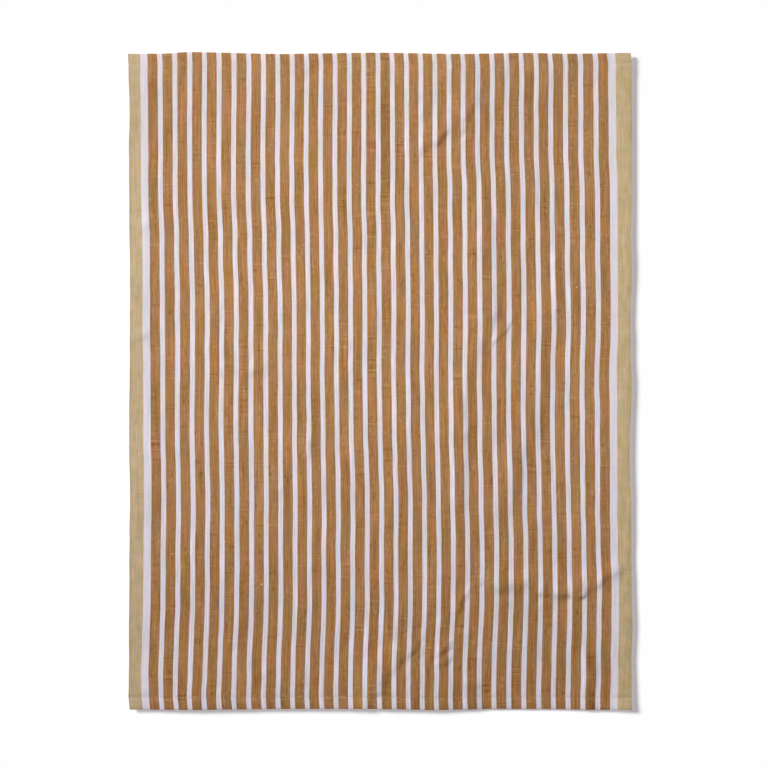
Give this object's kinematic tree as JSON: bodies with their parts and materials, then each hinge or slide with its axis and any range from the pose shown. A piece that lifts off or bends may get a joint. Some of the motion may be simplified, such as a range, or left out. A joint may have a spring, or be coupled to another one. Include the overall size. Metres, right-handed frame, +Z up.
{
  "type": "tea towel",
  "caption": "Flat rectangular tea towel of striped woven linen, hemmed at both ends, laid out with low folds and slightly lifted edges.",
  "frame": {"origin": "on the surface that the towel lies on, under the middle of the cloth's bounding box", "axes": "+X across the stripes, to the right in the picture; +Y along the stripes, towards the top hem in the picture; +Z up, out of the cloth's upper face"},
  "size_m": [0.502, 0.654, 0.005],
  "materials": {
    "striped_linen": "matt plain weave, ochre tan and white stripes with beige selvedges"
  },
  "bodies": {
    "root": {"towel_cloth": "striped_linen"}
  },
  "joints": []
}
